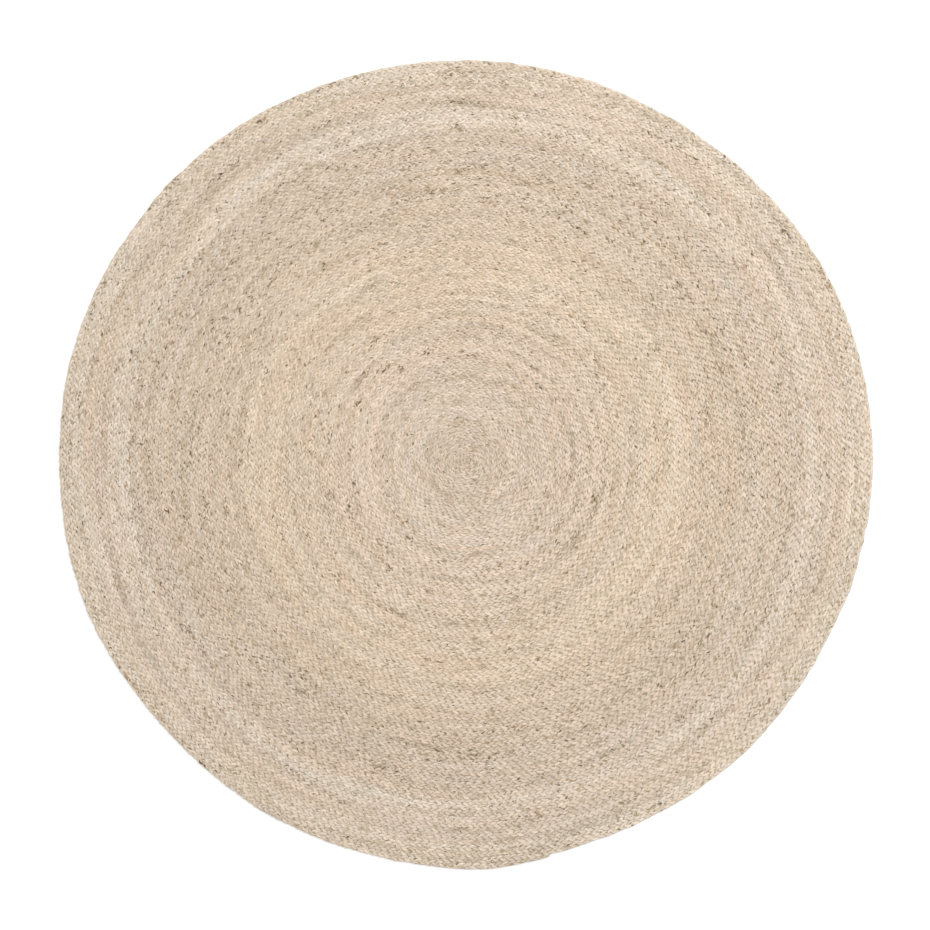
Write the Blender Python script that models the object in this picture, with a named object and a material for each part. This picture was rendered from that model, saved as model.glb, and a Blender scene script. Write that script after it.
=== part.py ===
"""Round braided jute rug: one flat plait wound in a spiral, spliced from twelve lengths and laced edge to edge."""

import math

import bmesh
import bpy
from mathutils import Vector

# Driving dimensions, in metres
RUG_DIAMETER = 2.0  # mean diameter of the outline
RUG_THICKNESS = 0.009  # the plait lies flat, two strands deep
PITCH_CENTRE = 0.0126  # width of one turn of plait at the centre
PITCH_RIM = 0.0144  # width of one turn of plait at the rim
SEAM_GAP = 0.0003  # clearance between neighbouring pieces
SHOULDER = 0.0022  # how far the plait's top edges fall away beside a seam
CENTRE_TURNS = 2.0  # turns in the tight coil at the centre
SPLICE_RADII = (0.11, 0.22, 0.29, 0.35, 0.45, 0.56, 0.66, 0.75, 0.84, 0.89, 0.95)  # shares of the rug's radius
TAIL_LENGTH = 0.16
TAIL_TIP_WIDTH = 0.005
TAIL_SEGMENTS = 8
THREAD_DIAMETER = 0.0015
THREAD_SIDES = 4
STITCH_DIAMETER = 0.0014
STITCH_SIDES = 8
STITCH_COUNT = 4
CHORD_ERROR = 0.0012  # how far a straight segment may cut inside the true curve
FEWEST_SEGMENTS = 32  # in one turn, for the small turns near the centre

# A coil laid by hand is never a true circle: share of the radius, lobes, and where the first lobe points
OUT_OF_ROUND = ((0.0068, 2, math.radians(-13)), (0.0036, 3, math.radians(24)))
END_ANGLE = math.radians(-78)  # where the outer end of the plait lies, seen from above

# What follows from them
RUG_RADIUS = RUG_DIAMETER / 2
TURNS = 2 * RUG_RADIUS / (PITCH_CENTRE + PITCH_RIM) + 0.5
PITCH_GROWTH = (PITCH_RIM - PITCH_CENTRE) / (2 * TURNS)
FULL_TURN = 2 * math.pi

# Jute from twelve batches, from the centre outwards, as linear RGB
CENTRE_COLOUR = (0.58, 0.46, 0.36)
BATCH_COLOURS = (
    (0.62, 0.50, 0.39),
    (0.63, 0.51, 0.39),
    (0.61, 0.48, 0.36),
    (0.64, 0.51, 0.37),
    (0.66, 0.53, 0.38),
    (0.67, 0.54, 0.39),
    (0.60, 0.47, 0.36),
    (0.59, 0.47, 0.37),
    (0.61, 0.50, 0.40),
    (0.66, 0.55, 0.43),
    (0.61, 0.49, 0.38),
    (0.64, 0.53, 0.41),
)
THREAD_COLOUR = (0.60, 0.50, 0.36)


def clear_scene():
    for obj in list(bpy.data.objects):
        bpy.data.objects.remove(obj, do_unlink=True)


def jute(name, colour):
    """Dry raw fibre: matt, and not metallic."""
    material = bpy.data.materials.new(name)
    material.use_nodes = True
    shader = material.node_tree.nodes["Principled BSDF"]
    shader.inputs["Base Color"].default_value = (*colour, 1.0)
    shader.inputs["Roughness"].default_value = 0.9
    shader.inputs["Metallic"].default_value = 0.0
    material.diffuse_color = (*colour, 1.0)
    return material


def seam_radius(turn):
    """Radius of the outer edge of the plait after this many turns."""
    return PITCH_CENTRE * turn + PITCH_GROWTH * turn * turn


def turn_at(radius):
    """The turn whose outer edge has this radius."""
    if PITCH_GROWTH == 0:
        return radius / PITCH_CENTRE
    root = math.sqrt(PITCH_CENTRE**2 + 4 * PITCH_GROWTH * radius)
    return (root - PITCH_CENTRE) / (2 * PITCH_GROWTH)


def spot(turn, radius, along=0.0, z=0.0):
    """The point at this turn of the spiral and this radius, moved a distance along the turn."""
    angle = END_ANGLE + FULL_TURN * (turn - TURNS) + along / max(radius, PITCH_CENTRE)
    radius *= 1 + sum(share * math.cos(lobes * (angle - first)) for share, lobes, first in OUT_OF_ROUND)
    return Vector((radius * math.cos(angle), radius * math.sin(angle), z))


def segments(turn):
    """Straight segments in the turn that ends here, so that each stays close to the curve."""
    needed = math.ceil(math.pi / math.acos(1 - CHORD_ERROR / seam_radius(turn)))
    return max(FEWEST_SEGMENTS, needed)


def spiral_edge(turn, inset, z):
    """One closed line round the coil: the last turn of seam up to `turn`, then the step back to its start.

    A positive inset moves it into the piece outside the seam, a negative one into the piece inside it.
    """
    count = segments(turn)
    points = []
    for step in range(count + 1):
        here = turn - 1 + step / count
        along = inset if step in (0, count) else 0.0
        points.append(spot(here, seam_radius(here) + inset, along, z))
    return points


def add_loop(bm, points):
    """Adds a closed line of edges through these points."""
    verts = [bm.verts.new(point) for point in points]
    pairs = zip(verts, verts[1:] + verts[:1])
    return [bm.edges.new(pair) for pair in pairs]


def edge_profile():
    """Inset and height of each line up the edge of a piece, from its underside to its top."""
    clearance = SEAM_GAP / 2
    return (
        (clearance, 0.0),
        (clearance, RUG_THICKNESS - SHOULDER),
        (clearance + SHOULDER, RUG_THICKNESS),
    )


def add_wall(bm, turn, side):
    """The edge of a piece along a seam: side is 1 for a piece outside the seam, and -1 for one inside it."""
    lines = [add_loop(bm, spiral_edge(turn, side * inset, z)) for inset, z in edge_profile()]
    for lower, upper in zip(lines, lines[1:]):
        bmesh.ops.bridge_loops(bm, edges=lower + upper)
    return lines


def finish_solid(name, bm, material):
    """Turns the finished shape into a named object with its faces pointing out."""
    bmesh.ops.recalc_face_normals(bm, faces=bm.faces)
    mesh = bpy.data.meshes.new(name)
    bm.to_mesh(mesh)
    bm.free()
    mesh.materials.append(material)
    obj = bpy.data.objects.new(name, mesh)
    bpy.context.scene.collection.objects.link(obj)
    return obj


def make_coil(name, first_turn, last_turn, material):
    """The coil that one length of plait makes: a flat ring whose two edges follow the spiral."""
    bm = bmesh.new()
    walls = [add_wall(bm, last_turn, -1)]
    if first_turn > 0:
        walls.append(add_wall(bm, first_turn, 1))
    for level in (0, -1):
        bmesh.ops.triangle_fill(bm, use_beauty=True, edges=[e for wall in walls for e in wall[level]])
    return finish_solid(name, bm, material)


def make_tube(name, points, diameter, sides, material):
    """A thread through these points, with closed ends."""
    curve = bpy.data.curves.new(name, "CURVE")
    curve.dimensions = "3D"
    curve.bevel_depth = diameter / 2
    curve.bevel_resolution = sides // 2 - 2
    curve.use_fill_caps = True
    spline = curve.splines.new("POLY")
    spline.points.add(len(points) - 1)
    for place, point in zip(spline.points, points):
        place.co = (*point, 1.0)
        place.radius = 1.0
    curve.materials.append(material)
    obj = bpy.data.objects.new(name, curve)
    bpy.context.scene.collection.objects.link(obj)
    return obj


def trimmed(points, length):
    """The line through these points with this length cut from its start."""
    while (points[1] - points[0]).length <= length:
        length -= (points[1] - points[0]).length
        points = points[1:]
    return [points[0] + (points[1] - points[0]).normalized() * length, *points[1:]]


def make_lacing(name, turn, material):
    """The thread that laces one coil to the next, lying in the groove over their seam."""
    groove_bottom = RUG_THICKNESS - SHOULDER - SEAM_GAP / 2
    height = groove_bottom + (THREAD_DIAMETER / 2 + SEAM_GAP) * math.sqrt(2)
    clear_of_splice = 2 * SHOULDER
    points = trimmed(spiral_edge(turn, 0.0, height), clear_of_splice)
    points = trimmed(points[::-1], clear_of_splice)
    return make_tube(name, points, THREAD_DIAMETER, THREAD_SIDES, material)


def tail_turns():
    """Where the tail starts and ends, in turns."""
    return TURNS - TAIL_LENGTH / (FULL_TURN * RUG_RADIUS), TURNS


def tail_width(share):
    """Width of the tail a share of the way to its tip."""
    full = PITCH_RIM - SEAM_GAP
    return full + (TAIL_TIP_WIDTH - full) * share


def make_tail(name, material):
    """The end of the plait, which narrows along the rim to a blunt tip."""
    first, last = tail_turns()
    bm = bmesh.new()
    lines = []
    for inset, z in edge_profile():
        inner, outer = [], []
        for step in range(TAIL_SEGMENTS + 1):
            share = step / TAIL_SEGMENTS
            turn = first + (last - first) * share
            from_ends = inset * (1 - 2 * share)
            base = seam_radius(turn - 1)
            inner.append(spot(turn, base + inset, from_ends, z))
            outer.append(spot(turn, base + SEAM_GAP + tail_width(share) - inset, from_ends, z))
        lines.append(add_loop(bm, inner + outer[::-1]))
    for lower, upper in zip(lines, lines[1:]):
        bmesh.ops.bridge_loops(bm, edges=lower + upper)
    for level in (0, -1):
        bmesh.ops.triangle_fill(bm, use_beauty=True, edges=lines[level])
    return finish_solid(name, bm, material)


def make_stitch(number, material):
    """A tack stitch lying over the seam between the tail and the last full turn."""
    first, last = tail_turns()
    share = (number - 0.5) / STITCH_COUNT
    turn = first + (last - first) * share
    base = seam_radius(turn - 1)
    height = RUG_THICKNESS + SEAM_GAP + STITCH_DIAMETER / 2
    ends = (base - PITCH_RIM / 2, base + tail_width(share) / 2)
    points = [spot(turn, radius, 0.0, height) for radius in ends]
    return make_tube(f"tail_stitch_{number}", points, STITCH_DIAMETER, STITCH_SIDES, material)


def main():
    clear_scene()
    thread = jute("sewing_thread", THREAD_COLOUR)
    tail_start = tail_turns()[0]
    splices = [turn_at(share * RUG_RADIUS) for share in SPLICE_RADII]
    seams = [CENTRE_TURNS, *splices, tail_start]
    make_coil("centre_start", 0, CENTRE_TURNS, jute("centre_jute", CENTRE_COLOUR))
    for number, (first, last) in enumerate(zip(seams, seams[1:]), start=1):
        batch = jute(f"jute_batch_{number:02d}", BATCH_COLOURS[number - 1])
        make_coil(f"braid_length_{number:02d}", first, last, batch)
        make_lacing(f"lacing_thread_{number:02d}", first, thread)
    make_tail("rim_tail", jute("tail_jute", BATCH_COLOURS[-1]))
    for number in range(1, STITCH_COUNT + 1):
        make_stitch(number, thread)


main()
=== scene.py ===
# %% [markdown]
# # A round braided jute rug
# The rug is one flat plait of raw jute, wound in a single spiral from the middle and laced edge to edge.
# Nothing else holds it together: no backing, no border tape. So the model is made the same way, from the
# strands up, and the surface that you see is the plait itself.

# %% Load the fixed frame
import math

import bmesh
import bpy
import numpy as np
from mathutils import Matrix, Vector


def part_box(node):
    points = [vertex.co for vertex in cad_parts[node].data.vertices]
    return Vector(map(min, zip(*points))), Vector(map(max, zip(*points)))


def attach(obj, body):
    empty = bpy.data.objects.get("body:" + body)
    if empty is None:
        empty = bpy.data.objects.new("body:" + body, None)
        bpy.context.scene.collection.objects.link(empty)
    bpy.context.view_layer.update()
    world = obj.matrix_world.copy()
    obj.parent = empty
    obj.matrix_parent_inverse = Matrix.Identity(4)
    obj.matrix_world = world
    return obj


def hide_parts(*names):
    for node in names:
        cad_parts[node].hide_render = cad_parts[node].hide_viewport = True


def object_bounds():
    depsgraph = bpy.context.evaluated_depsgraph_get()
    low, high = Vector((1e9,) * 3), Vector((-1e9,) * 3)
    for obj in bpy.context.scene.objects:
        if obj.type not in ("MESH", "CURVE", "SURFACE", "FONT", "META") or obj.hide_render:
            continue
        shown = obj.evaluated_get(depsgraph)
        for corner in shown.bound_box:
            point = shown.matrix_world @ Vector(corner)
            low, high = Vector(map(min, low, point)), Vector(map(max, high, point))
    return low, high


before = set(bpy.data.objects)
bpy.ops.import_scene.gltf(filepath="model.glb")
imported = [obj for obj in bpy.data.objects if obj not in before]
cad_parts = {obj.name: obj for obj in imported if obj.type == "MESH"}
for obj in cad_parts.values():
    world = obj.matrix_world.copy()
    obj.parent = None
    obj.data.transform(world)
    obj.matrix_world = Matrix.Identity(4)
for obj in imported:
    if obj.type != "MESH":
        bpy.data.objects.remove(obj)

CAD_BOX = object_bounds()
print("frame box", [list(corner) for corner in CAD_BOX])

# %% [markdown]
# ## The spiral
# A coil laid by hand has two rules. Its seams open outwards a little faster at the rim than in the middle,
# because the last metres are laid more loosely, and its outline is never a true circle. The design states
# both as a few numbers. Radius and thickness are read from the frame, so the plait fills exactly the space
# that the plain solids hold.

# %% Sizes of the coil
PITCH_CENTRE, PITCH_RIM = 0.0126, 0.0144  # width of one turn of plait, in the middle and at the rim
END_ANGLE = math.radians(-78)  # where the outer end lies, seen from above
OUT_OF_ROUND = ((0.0068, 2, math.radians(-13)), (0.0036, 3, math.radians(24)))  # share, lobes, direction
LENGTH_COUNT = 12
TAIL_LENGTH = 0.16
FULL_TURN = 2 * math.pi


def half_width(corners):
    """Mean of half the width and half the depth of a box."""
    low, high = corners
    return (high.x - low.x + high.y - low.y) / 4


RADIUS = round(half_width(CAD_BOX), 3)
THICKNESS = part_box("centre_start")[1].z
TURNS = 2 * RADIUS / (PITCH_CENTRE + PITCH_RIM) + 0.5
PITCH_GROWTH = (PITCH_RIM - PITCH_CENTRE) / (2 * TURNS)
print("radius", RADIUS, "thickness", round(THICKNESS, 4), "turns", round(TURNS, 2))


def seam_radius(turn):
    """Radius of the plait's outer edge after this many turns."""
    return PITCH_CENTRE * turn + PITCH_GROWTH * turn * turn


def turn_at(radius):
    root = math.sqrt(PITCH_CENTRE**2 + 4 * PITCH_GROWTH * radius)
    return (root - PITCH_CENTRE) / (2 * PITCH_GROWTH)


def last_turn(node):
    """The turn at which the coil in this node ends."""
    return turn_at(half_width(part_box(node))) + 0.5


# %% [markdown]
# ## Measuring along the plait
# A rope maker thinks in metres of plait, and a drawing thinks in turns and angles. This table of running
# length against turns lets every later step work in metres along the plait, and still land on the spiral.

# %% Running length of the plait
FIRST_TURN = 0.53  # the tip of the plait is tucked in at the very centre
turn_table = np.linspace(FIRST_TURN, TURNS, 60001)
radius_table = (seam_radius(turn_table) + seam_radius(turn_table - 1)) / 2
steps = np.hypot(FULL_TURN * radius_table[1:] * np.diff(turn_table), np.diff(radius_table))
run_table = np.concatenate([[0.0], np.cumsum(steps)])
PLAIT_LENGTH = float(run_table[-1])
print("metres of plait", round(PLAIT_LENGTH, 1))


def run_at(turn):
    return float(np.interp(turn, turn_table, run_table))


# %% [markdown]
# ## A hand-laid coil
# No turn lies exactly where the rule puts it. One pull of the lacing draws two turns together, the next
# lets them spread, and each turn copies the bumps of the one inside it. Adding up a few dozen waves of
# random direction gives such a field: smooth, never repeating, and shared by neighbours because they lie
# close together.

# %% Fields of random waves
SOFT_BUMPS = ((0.0023, 4, 10), (0.0013, 6, 21), (0.0012, 9, -3), (0.00135, 10, -14))  # share, lobes, degrees


def floor_field(seed, count, spacing):
    """Random waves over the floor, about one unit high, with crests this many metres apart."""
    rng = np.random.default_rng(seed)
    pace = FULL_TURN / rng.uniform(*spacing, count)
    heading, phase = rng.uniform(0, FULL_TURN, (2, count))

    def field(x, y):
        return math.sqrt(2 / count) * sum(
            np.sin(k * (x * math.cos(turn) + y * math.sin(turn)) + first)
            for k, turn, first in zip(pace, heading, phase)
        )

    return field


def arc_field(seed, count, rounds, spacing):
    """Random waves in arcs: so many crests round the rug, and this many metres apart outwards."""
    rng = np.random.default_rng(seed)
    crests = rng.integers(*rounds, count) * rng.choice([-1, 1], count)
    pace = FULL_TURN / rng.uniform(*spacing, count)
    phase = rng.uniform(0, FULL_TURN, count)

    def field(x, y):
        radius, angle = np.hypot(x, y), np.arctan2(y, x)
        return math.sqrt(2 / count) * sum(
            np.sin(n * angle + k * radius + first) for n, k, first in zip(crests, pace, phase)
        )

    return field


nudge = floor_field(11, 24, (0.028, 0.075))
spread = arc_field(12, 24, (5, 40), (0.03, 0.11))
sample = np.linspace(-RADIUS, RADIUS, 400)
print("nudge reaches", round(float(np.abs(nudge(sample, sample)).max()), 2), "times its unit")

# %% [markdown]
# ## Where a place on the plait lies on the floor
# Everything is laid in the plait's own terms: metres along it, outwards from its middle line, and height.
# One function turns those into a point on the floor, with the hand-laid bumps added. The middle of the rug
# stays calm, because the first turns are wound tight. Where two turns are pushed apart the plait is
# stretched to meet its neighbour, so no gap opens.

# %% From the plait to the floor
NUDGE_SIZE, SPREAD_SIZE = 0.0005, 0.0007  # metres
CALM_RADIUS = 0.12  # inside this radius the coil follows its rule more and more closely
HALF_PLAIT = 0.006  # metres from the middle line at which the push is measured


def push_at(radius, angle):
    """How far the coil lies off its rule here, in metres outwards."""
    x, y = radius * np.cos(angle), radius * np.sin(angle)
    bumps = sum(share * np.cos(lobes * (angle - math.radians(first))) for share, lobes, first in SOFT_BUMPS)
    calm = np.clip(radius / CALM_RADIUS, 0, 1)
    pushed = calm * (NUDGE_SIZE * nudge(x, y) + SPREAD_SIZE * spread(x, y))
    return pushed + radius * bumps * np.clip(radius, 0, 1)


def on_plait(run, across, height):
    """Points at these metres along the plait, this far outwards from its middle line, and this high."""
    turn = np.interp(run, run_table, turn_table)
    radius = np.interp(run, run_table, radius_table)
    angle = END_ANGLE + FULL_TURN * (turn - TURNS)
    oval = 1 + sum(share * np.cos(lobes * (angle - first)) for share, lobes, first in OUT_OF_ROUND)
    inner = push_at((radius - HALF_PLAIT) * oval, angle)
    outer = push_at((radius + HALF_PLAIT) * oval, angle)
    stretch = 1 + np.clip((outer - inner) / (2 * HALF_PLAIT), -0.2, 0.2)
    radius = (radius + across * stretch) * oval + (inner + outer) / 2
    return np.column_stack([radius * np.cos(angle), radius * np.sin(angle), height])


def plait_width(run):
    """Width of the plait here, which is also the pitch of the coil."""
    turn = np.interp(run, run_table, turn_table)
    return np.interp(turn, (0, TURNS), (PITCH_CENTRE, PITCH_RIM))


rim_end = on_plait(np.array([PLAIT_LENGTH]), np.array([0.0]), np.array([0.0]))[0]
print("the plait ends at", [round(float(value), 3) for value in rim_end[:2]])


# %% [markdown]
# ## Three strands that pass over and under each other
# In a flat three-strand plait each strand swings from edge to edge like a sine wave, and rises and dips
# twice for each swing. The three run a third of a swing apart, so one is always going over while its
# neighbour goes under. That gives the two columns of lobes, leaning outwards like an ear of wheat. It could
# be faked with a bump texture, but then the light would never catch the lobes from the side, so each strand
# is real here.

# %% The plait's own sizes
SWING = 0.052  # metres of plait for one full swing of a strand
STRAND_WIDTH, STRAND_HEIGHT = 0.0074, 0.0043
STRAND_SIDES = 6
REACH_SHARE = 0.335  # how far a strand swings out, as a share of the plait's width
CROSSING_SPEED = 0.36  # a strand crosses the middle quickly and stays longer at the edge
EARLY_RISE = 0.22  # radians by which it comes up before it is halfway across
SECTION_HEIGHT = 1.12  # the six-sided section is made this much taller, so that it stands for a round one
RISE = (THICKNESS - SECTION_HEIGHT * STRAND_HEIGHT) / 2 - 0.0001
HALF_SWING_STOPS = np.array([-8, 18, 42, 72, 122])  # degrees, close together where the strand lies on top
SWING_STOPS = np.radians(np.concatenate([HALF_SWING_STOPS, HALF_SWING_STOPS + 180]))
FINE_STOPS = np.radians(np.arange(16) * 22.5 - 8)  # for the rim and the middle, which show their outline
FINE_START, FINE_RIM = run_at(3), run_at(TURNS - 1.3)  # metres of plait between which the plain stops do
TIP_FULLNESS = 0.38  # how thick the plait still is at its two ends


def wander(rng, run, step):
    """Smooth random drift between -1 and 1 along the run, with a new value every step."""
    start = run.min() - step
    knots = np.arange(start, run.max() + 2 * step, step)
    return np.interp(run, knots, rng.uniform(-1, 1, len(knots)))


# The pull of the hands changes, so the swings are a little longer here and shorter there.
GRID_STEP = 0.004  # metres
pull = np.random.default_rng(7)
run_grid = np.arange(-0.1, PLAIT_LENGTH + 0.1, GRID_STEP)
local_swing = SWING * (1 + 0.10 * wander(pull, run_grid, 0.12) + 0.05 * wander(pull, run_grid, 0.9))
swing_count = np.cumsum(GRID_STEP / local_swing)
print("swings", round(float(swing_count[-1])), "shortest", round(float(local_swing.min()), 4))

# %% [markdown]
# ## The path of one strand
# A strand only needs a point where it bends. Five points for each half swing are enough over most of the
# rug, and the rim and the middle get more. Reach, height and thickness wander a little from swing to swing,
# because no two pulls of the hand are alike.

# %% Lay one strand
START_TAPER = 0.012  # metres over which the plait fills out at its start
END_TAPER = 0.02  # metres over which a strand's own end thins out
ALONG_WANDER = 0.0016  # metres by which a point may slip along the plait
MIDDLE_PITCH = (PITCH_CENTRE + PITCH_RIM) / 2


def fullness(run):
    """1 along the plait, and less where it tapers at its start and in its tail."""
    from_start = np.clip(0.4 + run / START_TAPER, 0, 1)
    from_end = np.clip((PLAIT_LENGTH - run) / TAIL_LENGTH, 0, 1)
    return TIP_FULLNESS + (1 - TIP_FULLNESS) * np.minimum(from_start, from_end)


def strand_path(first_run, last_run, strand, rng):
    """The middle line of one strand between two places on the plait, with its thickness at each point."""
    offset = strand / 3
    first_swing, last_swing = np.interp((first_run, last_run), run_grid, swing_count) + offset
    swings = np.arange(math.floor(first_swing) - 1, math.ceil(last_swing) + 2)
    phase = []
    for stops, fine in ((SWING_STOPS, False), (FINE_STOPS, True)):
        these = (swings[:, None] * FULL_TURN + stops[None, :]).ravel()
        run = np.interp(these / FULL_TURN - offset, swing_count, run_grid)
        inside = (run >= first_run) & (run <= last_run)
        phase.append(these[inside & (((run < FINE_START) | (run > FINE_RIM)) == fine)])
    phase = np.sort(np.concatenate(phase))
    run = np.interp(phase / FULL_TURN - offset, swing_count, run_grid)
    width = plait_width(run)
    full = fullness(run)
    reach = width * REACH_SHARE * (1 + 0.11 * wander(rng, run, SWING / 2))
    swing = np.sin(phase + CROSSING_SPEED * np.sin(2 * phase))
    across = full * reach * swing - (1 - full) * width / 2 * (run > PLAIT_LENGTH / 2)
    rise = np.sin(2 * phase + EARLY_RISE)
    height = THICKNESS / 2 + RISE * rise * (0.93 + 0.07 * wander(rng, run, SWING / 3))
    plump = 0.92 + 0.12 * np.abs(rise) + 0.10 * wander(rng, run, SWING / 3)
    plump = plump * np.clip(0.5 + np.minimum(run - first_run, last_run - run) / END_TAPER, 0.5, 1)
    shifted = run + ALONG_WANDER * wander(rng, run, SWING / 4)
    return run, on_plait(shifted, across, height), full * plump * width / MIDDLE_PITCH


# %% [markdown]
# ## From a line to a strand
# A Blender curve with a bevel object sweeps a cross-section along a line, which is just what a strand is.
# The section is a flattened ring, because jute is soft and the crossing strands press it flat. The curve is
# turned into a mesh so that two maps can be stored on it: one in metres, for the fibres, and one that packs
# the long strand into rows, for anyone who bakes the finish.

# %% Sweep a strand
BOXY = 1.3  # how much the section's corners are pushed out sideways


def ring_profile(name, width, height, sides):
    """A small closed outline that curves are swept with."""
    outline = bpy.data.curves.new(name, "CURVE")
    outline.dimensions = "2D"
    spline = outline.splines.new("POLY")
    spline.points.add(sides - 1)
    spline.use_cyclic_u = True
    for number, point in enumerate(spline.points):
        angle = -math.pi / 3 - number * FULL_TURN / sides
        boxy = BOXY if abs(math.sin(angle)) > 0.5 else 1.0
        across, up = width / 2 * boxy * math.cos(angle), height / 2 * SECTION_HEIGHT * math.sin(angle)
        point.co = (across, up, 0, 1)
    return bpy.data.objects.new(name, outline)


def swept(name, lines, profile=None, depth=0.0):
    """A mesh swept along each (points, thickness) line."""
    curve = bpy.data.curves.new(name, "CURVE")
    curve.dimensions = "3D"
    curve.twist_mode = "Z_UP"
    curve.bevel_resolution = 0
    curve.bevel_depth = depth
    if profile:
        curve.bevel_mode, curve.bevel_object = "OBJECT", profile
    for points, thickness in lines:
        spline = curve.splines.new("POLY")
        spline.points.add(len(points) - 1)
        places = np.column_stack([points, np.ones(len(points))])
        spline.points.foreach_set("co", places.astype(np.float32).ravel())
        spline.points.foreach_set("radius", np.asarray(thickness, np.float32))
    holder = bpy.data.objects.new(name, curve)
    bpy.context.scene.collection.objects.link(holder)
    mesh = bpy.data.meshes.new_from_object(holder.evaluated_get(bpy.context.evaluated_depsgraph_get()))
    bpy.data.objects.remove(holder)
    bpy.data.curves.remove(curve)
    mesh.name = name
    return mesh


strand_profile = ring_profile("strand_section", STRAND_WIDTH, STRAND_HEIGHT, STRAND_SIDES)
print("sides to a strand", STRAND_SIDES)

# %% [markdown]
# ## From a mesh to a piece
# A swept tube is open at both ends, so its ends are capped, and its volume is measured: it would be
# negative if the faces pointed inwards. Then the mesh becomes a piece of the rug. It rides on the rug's
# body, has the material of its batch, and the plain solid of the frame that lies in the same place is
# hidden.

# %% Finish a piece


def close_ends(mesh):
    """Caps the open ends of swept tubes, with every face pointing outwards."""
    bm = bmesh.new()
    bm.from_mesh(mesh)
    bmesh.ops.holes_fill(bm, edges=[edge for edge in bm.edges if edge.is_boundary], sides=0)
    assert bm.calc_volume(signed=True) > 0, mesh.name
    bm.to_mesh(mesh)
    bm.free()


def piece_from(mesh, material, slot, *nodes):
    """Puts the mesh in the scene as a piece of the rug."""
    mesh.materials.clear()
    mesh.materials.append(material)
    mesh.shade_smooth()
    piece = bpy.data.objects.new(mesh.name, mesh)
    bpy.context.scene.collection.objects.link(piece)
    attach(piece, "root")
    if nodes:
        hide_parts(*nodes)


# %% [markdown]
# ## Maps and tones that travel with the strand
# Jute is bought in hanks, and no two are quite the same colour. Along one strand the tone drifts over hand
# spans, and it jumps a little from lobe to lobe. A number stored on each point of the mesh carries that
# drift, so that the finish can stay a single recipe.

# %% Store maps and tones
STRAND_GIRTH = math.pi * (STRAND_WIDTH + STRAND_HEIGHT) / 2
print("millimetres round a strand", round(1000 * STRAND_GIRTH, 1))


def store_map(mesh, name, places):
    layer = mesh.uv_layers.new(name=name, do_init=False)
    layer.uv.foreach_set("vector", places.astype(np.float32).ravel())


def store_maps(mesh, along, sides, girth):
    """A map in metres along and round the strand, and one that packs it into rows of a square."""
    while mesh.uv_layers:
        mesh.uv_layers.remove(mesh.uv_layers[0])
    vertex = np.empty(len(mesh.loops), np.int32)
    mesh.loops.foreach_get("vertex_index", vertex)
    faces = vertex.reshape(-1, 4)
    ring, side = faces // sides, faces % sides
    side = np.where((side == 0) & (side.max(axis=1, keepdims=True) == sides - 1), sides, side)
    along_face = along[ring]
    round_face = side / sides
    store_map(mesh, "fibre", np.stack([along_face, round_face * girth], -1).reshape(-1, 2))
    total = float(along[-1] - along[0])
    rows = max(1, round(math.sqrt(total / girth)))
    row_length = total / rows * 1.002 + 0.01  # with room for the face that crosses its end
    start = along_face.min(axis=1, keepdims=True) - along[0]
    row = np.floor(start / (total / rows * 1.000001))  # a hair longer, so that the last face keeps its row
    across = (along_face - along[0] - row * total / rows) / row_length
    store_map(mesh, "OFBake", np.stack([across, (row + 0.03 + 0.94 * round_face) / rows], -1).reshape(-1, 2))
    mesh.uv_layers["fibre"].active_render = True


def store_tone(mesh, name, values, sides):
    tone = mesh.attributes.new(name, "FLOAT", "POINT")
    tone.data.foreach_set("value", np.repeat(values, sides).astype(np.float32))


# %% [markdown]
# ## Raw jute
# Close to, raw jute is a bundle of dry, slightly shiny fibres that run along the strand, cream to brown,
# with shreds of dark bark left in. The recipe reads the strand's own map in metres, so the fibres follow
# every swing of the plait. Long thin noise makes the fibres, the same noise raised into a bump gives them
# relief, and two cut-off noises scatter the bark: fine flecks, and a few larger shreds.

# %% Write a material step by step


def shaded(colour, by, warmer=0.0):
    """The colour made lighter or darker, and shifted towards yellow."""
    red, green, blue = colour
    return (red * by, green * by * (1 - 0.15 * warmer), blue * by * (1 - 0.6 * warmer), 1.0)


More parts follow.
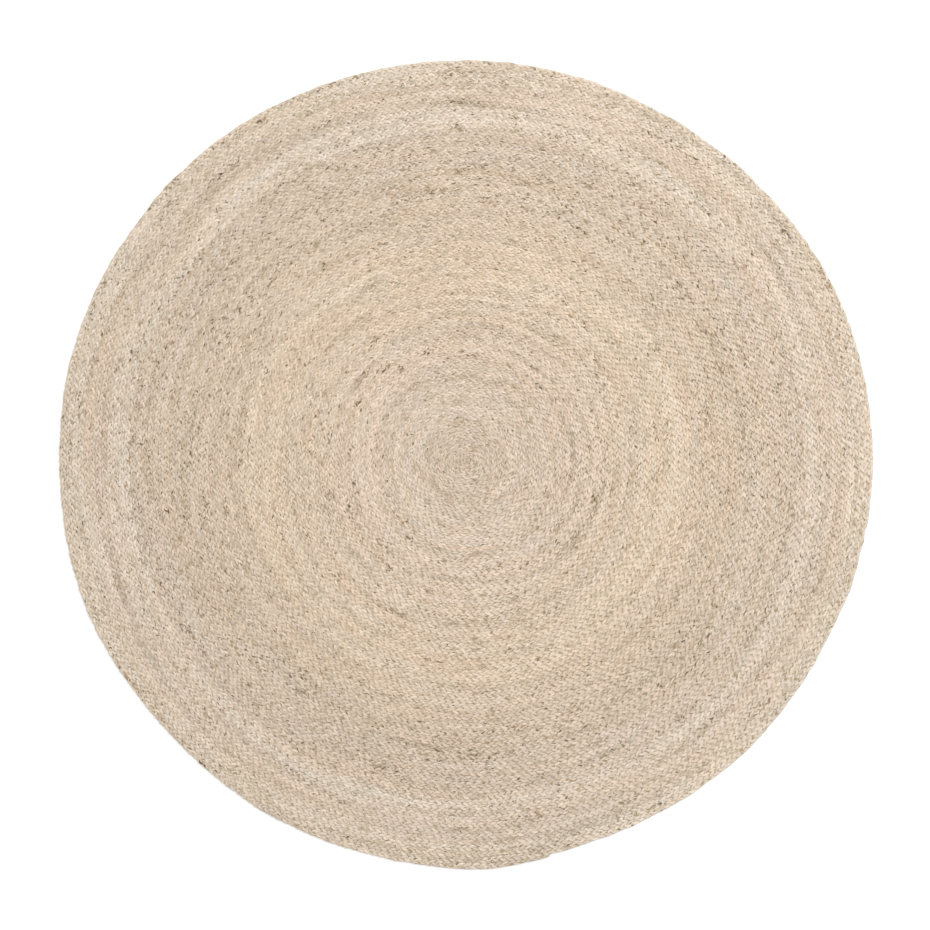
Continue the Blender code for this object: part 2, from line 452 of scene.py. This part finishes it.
class Recipe:
    """A node material being written, one named step at a time."""

    def __init__(self, name):
        self.material = bpy.data.materials.new(name)
        self.material.use_nodes = True
        self.tree = self.material.node_tree
        self.shader = self.tree.nodes["Principled BSDF"]

    def add(self, kind, **settings):
        node = self.tree.nodes.new(kind)
        for key, value in settings.items():
            setattr(node, key, value)
        return node

    def link(self, source, target):
        self.tree.links.new(source, target)

    def noise(self, places, stretch, detail, roughness=0.6, seed=0.0):
        """Noise on the strand's map, stretched so many waves per metre along and round it."""
        spread = self.add("ShaderNodeMapping")
        spread.inputs["Scale"].default_value = (*stretch, 1.0)
        spread.inputs["Location"].default_value = (seed, seed * 0.7, seed * 0.3)
        self.link(places, spread.inputs["Vector"])
        noise = self.add("ShaderNodeTexNoise", noise_dimensions="2D")
        noise.inputs["Scale"].default_value = 1.0
        noise.inputs["Detail"].default_value = detail
        noise.inputs["Roughness"].default_value = roughness
        self.link(spread.outputs["Vector"], noise.inputs["Vector"])
        return noise.outputs["Fac"]

    def math(self, operation, first, second, third=None):
        node = self.add("ShaderNodeMath", operation=operation)
        for socket, value in zip(node.inputs, (first, second, third)):
            if value is None:
                continue
            if isinstance(value, (int, float)):
                socket.default_value = value
            else:
                self.link(value, socket)
        return node.outputs[0]

    def ramp(self, amount, stops):
        """A colour for each amount, from (position, colour) stops."""
        node = self.add("ShaderNodeValToRGB")
        while len(node.color_ramp.elements) < len(stops):
            node.color_ramp.elements.new(0.5)
        for element, (position, colour) in zip(node.color_ramp.elements, stops):
            element.position, element.color = position, colour
        self.link(amount, node.inputs["Fac"])
        return node.outputs["Color"]

    def mix(self, amount, first, second):
        node = self.add("ShaderNodeMix", data_type="RGBA")
        self.link(amount, node.inputs["Factor"])
        for socket, value in ((node.inputs[6], first), (node.inputs[7], second)):
            if isinstance(value, tuple):
                socket.default_value = value
            else:
                self.link(value, socket)
        return node.outputs[2]

    def tinted(self, colour, tint):
        """The colour with its red, green and blue each made a little stronger or weaker."""
        node = self.add("ShaderNodeMix", data_type="RGBA", blend_type="MULTIPLY")
        node.inputs["Factor"].default_value = 1.0
        self.link(colour, node.inputs[6])
        node.inputs[7].default_value = (*tint, 1.0)
        return node.outputs[2]

    def step(self, amount, low, high):
        """0 below low, 1 above high."""
        node = self.add("ShaderNodeMapRange", interpolation_type="SMOOTHSTEP")
        node.inputs["From Min"].default_value = low
        node.inputs["From Max"].default_value = high
        self.link(amount, node.inputs["Value"])
        return node.outputs["Result"]


# %% [markdown]
# ## The recipe for jute
# Three numbers travel with each strand: its tone, its warmth and how much bark was left in it. The fibres
# are long noise added to the tone and looked up in a ramp from shade to highlight. Warmth mixes between a
# greyer and a redder tint. Bark lowers the bar that the two noises for flecks and shreds have to pass, so
# flecks gather where the stem's foot was left in, as they do in a real hank.

# %% The jute finish
FLECK_COLOUR = (0.110, 0.074, 0.036)
SHRED_COLOUR = (0.300, 0.215, 0.125)


def jute_finish(name, colour, seed):
    recipe = Recipe(name)
    places = recipe.add("ShaderNodeUVMap", uv_map="fibre").outputs["UV"]
    tone = recipe.add("ShaderNodeAttribute", attribute_name="tone").outputs["Fac"]
    warmth = recipe.add("ShaderNodeAttribute", attribute_name="warmth").outputs["Fac"]
    bark = recipe.add("ShaderNodeAttribute", attribute_name="bark").outputs["Fac"]
    fibres = recipe.noise(places, (60, 1300), 3, 0.7, seed)
    locks = recipe.noise(places, (55, 300), 2, 0.5, seed + 3)
    amount = recipe.math("MULTIPLY_ADD", fibres, 1.5, tone)
    amount = recipe.math("MULTIPLY_ADD", locks, 1.1, amount)
    amount = recipe.math("SUBTRACT", amount, 0.8)
    body = recipe.ramp(
        amount,
        (
            (0.00, shaded(colour, 0.54, 0.38)),
            (0.25, shaded(colour, 0.81, 0.14)),
            (0.50, shaded(colour, 1.0)),
            (0.75, shaded(colour, 1.13, -0.04)),
            (1.00, shaded(colour, 1.25, -0.08)),
        ),
    )
    redder = recipe.tinted(body, (1.035, 0.975, 0.920))
    greyer = recipe.tinted(body, (0.970, 1.010, 1.050))
    body = recipe.mix(recipe.step(warmth, -1.6, 1.6), greyer, redder)
    ragged = recipe.math("MULTIPLY_ADD", fibres, 0.30, bark)
    shred = recipe.math("ADD", recipe.noise(places, (42, 170), 1, 0.4, seed + 17), ragged)
    fleck = recipe.math("ADD", recipe.noise(places, (60, 250), 1, 0.5, seed + 11), ragged)
    body = recipe.mix(recipe.step(shred, 0.84, 0.97), body, (*SHRED_COLOUR, 1.0))
    body = recipe.mix(recipe.step(fleck, 0.875, 0.955), body, (*FLECK_COLOUR, 1.0))
    recipe.link(body, recipe.shader.inputs["Base Color"])
    recipe.shader.inputs["Roughness"].default_value = 0.86
    recipe.shader.inputs["Sheen Weight"].default_value = 0.12
    recipe.shader.inputs["Sheen Roughness"].default_value = 0.6
    relief = recipe.add("ShaderNodeBump")
    relief.inputs["Strength"].default_value = 0.55
    relief.inputs["Distance"].default_value = 0.0006
    recipe.link(fibres, relief.inputs["Height"])
    recipe.link(relief.outputs["Normal"], recipe.shader.inputs["Normal"])
    return recipe.material


print("fleck colour", FLECK_COLOUR, "shred colour", SHRED_COLOUR)

# %% [markdown]
# ## Twelve batches
# Each length of plait is one batch of jute. Seen from above they make soft rings: greyish in the middle,
# then a warm golden belt, a cooler grey-pink belt, a pale ring and a cream rim. The colours are the
# batches' own, and the splices come from the frame.

# %% Colours of the batches
def from_screen(red, green, blue, lift=1.0):
    """A display colour as the linear colour that materials use."""
    return tuple(min(0.9, lift * ((value / 255 + 0.055) / 1.055) ** 2.4) for value in (red, green, blue))


LIFT = 0.811  # the creases between lobes darken the whole, so the fibre itself is lighter
BATCHES = (
    (209, 192, 173),
    (214, 197, 178),
    (216, 198, 179),
    (213, 195, 175),
    (216, 198, 177),
    (218, 200, 178),
    (213, 195, 174),
    (211, 194, 174),
    (211, 194, 175),
    (217, 202, 184),
    (212, 195, 176),
    (215, 200, 181),
)
CENTRE_BATCH = (203, 184, 165)
STREAKY = (0.7, 0.9, 1.4, 1.5, 1.1, 0.8, 0.7, 0.7, 0.7, 0.8, 1.4, 1.1)  # how mixed each batch is
BARKY = (0.0, -0.01, 0.0, 0.01, 0.01, 0.005, 0.03, 0.045, 0.045, 0.02, 0.0, 0.015)  # bark left in each batch

finishes = {
    number: jute_finish(f"jute_batch_{number:02d}", from_screen(*colour, LIFT), 5.0 * number)
    for number, colour in enumerate(BATCHES, start=1)
}
finishes["centre"] = jute_finish("centre_jute", from_screen(*CENTRE_BATCH, LIFT), 2.0)
print("finishes", len(finishes))

# %% [markdown]
# ## Plait every length
# The loop below is the whole job of plaiting: for each length, three strands are laid between its two
# splices. Each strand is its own piece, as it is on the real plait before the batch runs out.

# %% Plait the strands
LETTERS = "abc"
SPLICE_OVERLAP = 0.012  # how far old and new strands run on past each other at a splice
STAGGER = 0.008  # the three strands don't end at the same place
HAND_SPAN = 0.22  # metres after which fresh jute is fed in and the tone may change
MAP_GAP = 40.0  # keeps the strands apart on the fibre map, so that no two show the same fibres
fade = arc_field(21, 40, (2, 12), (0.022, 0.06))  # light and dark streaks that a few turns share
warm = arc_field(22, 40, (2, 16), (0.03, 0.20))  # where the jute is redder, and where it is greyer
rooty = arc_field(23, 40, (4, 30), (0.025, 0.08))  # where the bark of the stem's foot was left in


def length_along(points):
    """Metres from the first point to each point."""
    return np.concatenate([[0.0], np.cumsum(np.linalg.norm(np.diff(points, axis=0), axis=1))])


def drift(rng, run):
    """The tone of a strand along its run: slow drift, hand spans and single lobes."""
    return 0.05 * wander(rng, run, 0.45) + 0.07 * wander(rng, run, 0.11) + 0.13 * wander(rng, run, SWING / 3)


def plait(name, first_run, last_run, finish, slot, node, seed, streaky, barky=0.0):
    """Three strands between two places on the plait. Returns the number of faces made."""
    shared = np.random.default_rng(seed)
    spans = np.arange(first_run - 0.3, last_run + 0.4, HAND_SPAN)
    shared_tone = 0.055 * streaky * shared.normal(0, 1, len(spans))
    shared_warmth = 0.18 * shared.normal(0, 1, len(spans))
    shared_bark = streaky * shared.uniform(0, 1, len(spans)) ** 6
    faces = 0
    for strand, letter in enumerate(LETTERS):
        rng = np.random.default_rng(seed * 10 + strand)
        stagger = STAGGER * (strand - 1)
        begin = max(0.0, first_run - SPLICE_OVERLAP + stagger)
        end = min(PLAIT_LENGTH, last_run + SPLICE_OVERLAP + stagger)
        run, points, thickness = strand_path(begin, end, strand, rng)
        mesh = swept(f"{name}_strand_{letter}", [(points, thickness)], strand_profile)
        store_maps(mesh, length_along(points) + MAP_GAP * strand, STRAND_SIDES, STRAND_GIRTH)
        x, y = points[:, 0], points[:, 1]
        tone = drift(rng, run) + np.interp(run, spans, shared_tone) + 0.032 * streaky * fade(x, y)
        warmth = np.interp(run, spans, shared_warmth) + 0.15 * warm(x, y) + 0.5 * wander(rng, run, SWING / 3)
        bark = barky + 0.050 * np.interp(run, spans, shared_bark)
        bark = bark - 0.016 + 0.048 * streaky * np.clip(rooty(x, y) - 0.5, 0, 2)
        store_tone(mesh, "tone", tone, STRAND_SIDES)
        store_tone(mesh, "warmth", warmth, STRAND_SIDES)
        store_tone(mesh, "bark", bark, STRAND_SIDES)
        close_ends(mesh)
        piece_from(mesh, finish, slot, node)
        faces += len(mesh.polygons)
    return faces


lengths = range(1, LENGTH_COUNT + 1)
splices = [last_turn("centre_start")] + [last_turn(f"braid_length_{number:02d}") for number in lengths]
splice_runs = [run_at(turn) for turn in splices]
splice_runs[-1] = PLAIT_LENGTH - TAIL_LENGTH
print("splices, in metres of plait", [round(run, 1) for run in splice_runs])
CENTRE_STREAKY = 0.7
CENTRE_SEED, LENGTH_SEED, TAIL_SEED = 1, 100, 300
centre_finish, rim_finish = finishes["centre"], finishes[LENGTH_COUNT]
total_faces = plait(
    "centre_start",
    0.0,
    splice_runs[0],
    centre_finish,
    "centre_jute",
    "centre_start",
    CENTRE_SEED,
    CENTRE_STREAKY,
)
for number in lengths:
    total_faces += plait(
        f"length_{number:02d}",
        splice_runs[number - 1],
        splice_runs[number],
        finishes[number],
        f"jute_batch_{number:02d}",
        f"braid_length_{number:02d}",
        LENGTH_SEED + number,
        STREAKY[number - 1],
        BARKY[number - 1],
    )
last_batch = f"jute_batch_{LENGTH_COUNT:02d}"
total_faces += plait(
    "rim_tail", splice_runs[-1], PLAIT_LENGTH, rim_finish, last_batch, "rim_tail", TAIL_SEED, STREAKY[-1]
)
print("faces in the plait", total_faces)

# %% [markdown]
# ## The ends folded in
# A plait is started from ends that are folded in under it, and that fold is what closes the very middle of
# the rug. One short strand wound one and a half times fills the space, a little lower than the plait around
# it.

# %% Fold in the first ends
FOLD_TURNS, FOLD_POINTS = 1.5, 20
FOLD_START, FOLD_PITCH = 0.0012, 0.0046  # metres from the middle at its tip, and outwards with each turn
FOLD_MAP_START = 150.0  # past the three strands on the fibre map
fold = np.linspace(0, FOLD_TURNS, FOLD_POINTS)
fold_radius, fold_angle = FOLD_START + FOLD_PITCH * fold, END_ANGLE + FULL_TURN * fold
fold_x, fold_y = fold_radius * np.cos(fold_angle), fold_radius * np.sin(fold_angle)
fold_line = np.column_stack([fold_x, fold_y, THICKNESS * (0.50 - 0.06 * fold)])
fold_mesh = swept("centre_start_fold", [(fold_line, np.linspace(0.7, 0.95, FOLD_POINTS))], strand_profile)
fold_lengths = length_along(fold_line)
store_maps(fold_mesh, fold_lengths + FOLD_MAP_START, STRAND_SIDES, STRAND_GIRTH)
for tone_name, level in (("tone", -0.05), ("warmth", 0.0), ("bark", -0.05)):
    store_tone(fold_mesh, tone_name, np.full(FOLD_POINTS, level), STRAND_SIDES)
close_ends(fold_mesh)
piece_from(fold_mesh, centre_finish, "centre_jute", "centre_start")
print("millimetres of folded strand", round(1000 * float(fold_lengths[-1])))

# %% [markdown]
# ## Loose fibres
# Jute is never sleek: short ends work out of the strands and lie across them in low arcs. They are too thin
# to change the colour, but they soften the edge and catch the light close to. Each is a three-sided thread
# of four points, so thousands of them cost little.

# %% Scatter the loose fibres
FIBRE_WIDTH = 0.00034
fibre_profile = ring_profile("fibre_section", FIBRE_WIDTH, FIBRE_WIDTH, 3)
FIBRE_STEPS = np.linspace(0, 1, 4)
FIBRE_MAP_STEP = 0.04  # metres of map for each fibre, more than the longest needs
FIBRES_PER_METRE, RIM_FIBRES = 14, 420
RIM_EDGE = 0.0058  # where the rim's fibres leave the last turn, in metres from its middle line
LOWEST_FIBRE = 0.0008  # metres above the floor
FIBRE_SEED, RIM_FIBRE_SEED = 500, 600


def loose_line(rng, run, rim):
    """One loose fibre: its points, and the length along it at each."""
    length, lift = rng.uniform(0.008, 0.030), rng.uniform(0.0004, 0.0020)
    heading = rng.uniform(-0.7, 0.7)
    out = rng.uniform(-0.006, 0.006)
    rise = THICKNESS * 0.94 + lift * np.sin(FIBRE_STEPS * rng.uniform(1.8, 3.2))
    if rim:
        length, heading, out = 0.6 * length, rng.uniform(0.15, 1.0), RIM_EDGE
        rise = rng.uniform(0.3, 0.7) * THICKNESS + lift * FIBRE_STEPS
    if rng.random() < 0.5:
        heading = math.pi - heading
    along = length * FIBRE_STEPS
    bend = rng.uniform(-0.004, 0.004) * FIBRE_STEPS**2
    places = on_plait(run + along * math.cos(heading), out + along * math.sin(heading) + bend, rise)
    places[:, 2] = np.maximum(places[:, 2], LOWEST_FIBRE)
    return places, along


def loosen(name, first_run, last_run, count, finish, slot, seed, rim=False):
    """Loose fibres over a stretch of plait, or out from its rim. Returns the number of faces made."""
    rng = np.random.default_rng(seed)
    made = [loose_line(rng, run, rim) for run in rng.uniform(first_run, last_run, count)]
    mesh = swept(name, [(places, np.linspace(1.0, 0.6, 4)) for places, _ in made], fibre_profile)
    along = np.concatenate([number * FIBRE_MAP_STEP + steps for number, (_, steps) in enumerate(made)])
    store_maps(mesh, along, 3, FIBRE_WIDTH * 3)
    # Loose fibres get a lighter tone than the strands: a painted highlight, so that they look like glossy
    # fibres catching the light; the spread from fibre to fibre is their own tone.
    store_tone(mesh, "tone", np.repeat(rng.uniform(0.1, 0.6, count), 4), 3)
    store_tone(mesh, "warmth", np.repeat(rng.uniform(-1, 1, count), 4), 3)
    store_tone(mesh, "bark", np.full(4 * count, -1.0), 3)
    close_ends(mesh)
    piece_from(mesh, finish, slot)
    return len(mesh.polygons)


loose_faces = 0
for number in lengths:
    start, stop = splice_runs[number - 1], splice_runs[number]
    count = int(FIBRES_PER_METRE * (stop - start)) + 20
    name, slot = f"loose_fibres_{number:02d}", f"jute_batch_{number:02d}"
    loose_faces += loosen(name, start, stop, count, finishes[number], slot, FIBRE_SEED + number)
rim_runs = (run_at(TURNS - 1), splice_runs[-1] - 0.03)
loose_faces += loosen("rim_fibres", *rim_runs, RIM_FIBRES, rim_finish, last_batch, RIM_FIBRE_SEED, rim=True)
print("faces in the loose fibres", loose_faces)

# %% [markdown]
# ## Lacing
# The turns are joined with jute thread that zigzags through the edge loops of both neighbours, halfway
# down. You only see it as small glints at the bottom of the groove, but it is what keeps the rug flat.

# %% Lace the turns together
LACING_STEP = 0.013
LACING_REACH = 0.0026
LACING_RADIUS = 0.0006
LACING_RISE = 0.16  # how far it climbs and dips, as a share of the thickness


def thread_finish(name, colour):
    recipe = Recipe(name)
    places = recipe.add("ShaderNodeTexCoord").outputs["Object"]
    plies = recipe.noise(places, (900, 900), 2, 0.5)
    body = recipe.ramp(plies, ((0.3, shaded(colour, 0.7)), (0.7, shaded(colour, 1.1))))
    recipe.link(body, recipe.shader.inputs["Base Color"])
    recipe.shader.inputs["Roughness"].default_value = 0.8
    return recipe.material


thread = thread_finish("sewing_thread", from_screen(205, 186, 156))
laced = 0
for number in lengths:
    run = np.arange(splice_runs[number - 1] + 0.01, splice_runs[number] - 0.01, LACING_STEP)
    width = plait_width(run)
    side = np.where(np.arange(len(run)) % 2 == 0, 1.0, -1.0)
    height = THICKNESS * (0.5 + LACING_RISE * np.where(np.arange(len(run)) % 4 < 2, 1.0, -1.0))
    points = on_plait(run, LACING_REACH * side - width / 2, height)
    mesh = swept(f"lacing_{number:02d}", [(points, np.ones(len(run)))], None, LACING_RADIUS)
    close_ends(mesh)
    piece_from(mesh, thread, "sewing_thread", f"lacing_thread_{number:02d}")
    laced += len(mesh.polygons)
print("faces in the lacing", laced)

# %% [markdown]
# ## The tail's stitches
# The tapered end is held down by a few tack stitches: each comes up through the last full turn, crosses the
# seam and goes down again into the tail.

# %% Tack the tail
STITCHES, STITCH_POINTS, STITCH_RADIUS = 4, 9, 0.0007
for number in range(1, STITCHES + 1):
    run = PLAIT_LENGTH - TAIL_LENGTH * (1 - (number - 0.5) / STITCHES)
    across = np.linspace(-1, 1, STITCH_POINTS)
    width = PITCH_RIM * float(fullness(np.array([run]))[0])
    height = THICKNESS - 0.0002 - 0.0040 * np.abs(across) ** 3
    places = -PITCH_RIM / 2 + across * (0.0025 + width / 3)
    points = on_plait(np.full(STITCH_POINTS, run) + 0.001 * across, places, height)
    mesh = swept(f"tack_{number}", [(points, np.ones(STITCH_POINTS))], None, STITCH_RADIUS)
    close_ends(mesh)
    piece_from(mesh, thread, "sewing_thread", f"tail_stitch_{number}")
print("tack stitches", STITCHES)

# %% [markdown]
# ## Floor, light and camera
# A pale floor and a broad soft light from one side, low enough to draw the plait. The camera looks straight
# down through a long lens, so the outline isn't stretched.

# %% Stage
floor_mesh = bpy.data.meshes.new("floor")
bm = bmesh.new()
bmesh.ops.create_grid(bm, x_segments=1, y_segments=1, size=40)
bmesh.ops.translate(bm, vec=(0, 0, -0.0002), verts=bm.verts)  # a hair lower, so that nothing touches it
bm.to_mesh(floor_mesh)
bm.free()
floor = bpy.data.objects.new("floor", floor_mesh)
bpy.context.scene.collection.objects.link(floor)
floor_paint = bpy.data.materials.new("floor_paint")
floor_paint.use_nodes = True
floor_shader = floor_paint.node_tree.nodes["Principled BSDF"]
floor_shader.inputs["Base Color"].default_value = (0.93, 0.93, 0.93, 1)
floor_shader.inputs["Roughness"].default_value = 0.9
floor_mesh.materials.append(floor_paint)

world = bpy.data.worlds.new("studio")
bpy.context.scene.world = world
world.use_nodes = True
surround = world.node_tree.nodes["Background"]
surround.inputs["Color"].default_value = (1, 1, 1, 1)
surround.inputs["Strength"].default_value = 1.0


def soft_light(name, place, size, power):
    """A square light that faces the middle of the rug."""
    lamp = bpy.data.lights.new(name, "AREA")
    lamp.size = size
    lamp.energy = power
    light = bpy.data.objects.new(name, lamp)
    light.location = place
    toward = -light.location.normalized()
    light.rotation_euler = toward.to_track_quat("-Z", "Y").to_euler()
    bpy.context.scene.collection.objects.link(light)


soft_light("window_light", (2.9, 2.7, 5.2), 3.5, 262)
bpy.context.scene.view_settings.view_transform = "Standard"

CAMERA_HEIGHT = 6.0
VIEW_WIDTH = 2.3037  # metres of floor across the picture
camera_data = bpy.data.cameras.new("overhead")
camera_data.sensor_width = 36.0
camera_data.lens = camera_data.sensor_width * CAMERA_HEIGHT / VIEW_WIDTH
camera = bpy.data.objects.new("overhead", camera_data)
camera.location = (-0.0047, -0.0087, CAMERA_HEIGHT)
bpy.context.scene.collection.objects.link(camera)
bpy.context.scene.camera = camera
print("lens in millimetres", round(camera_data.lens, 1))
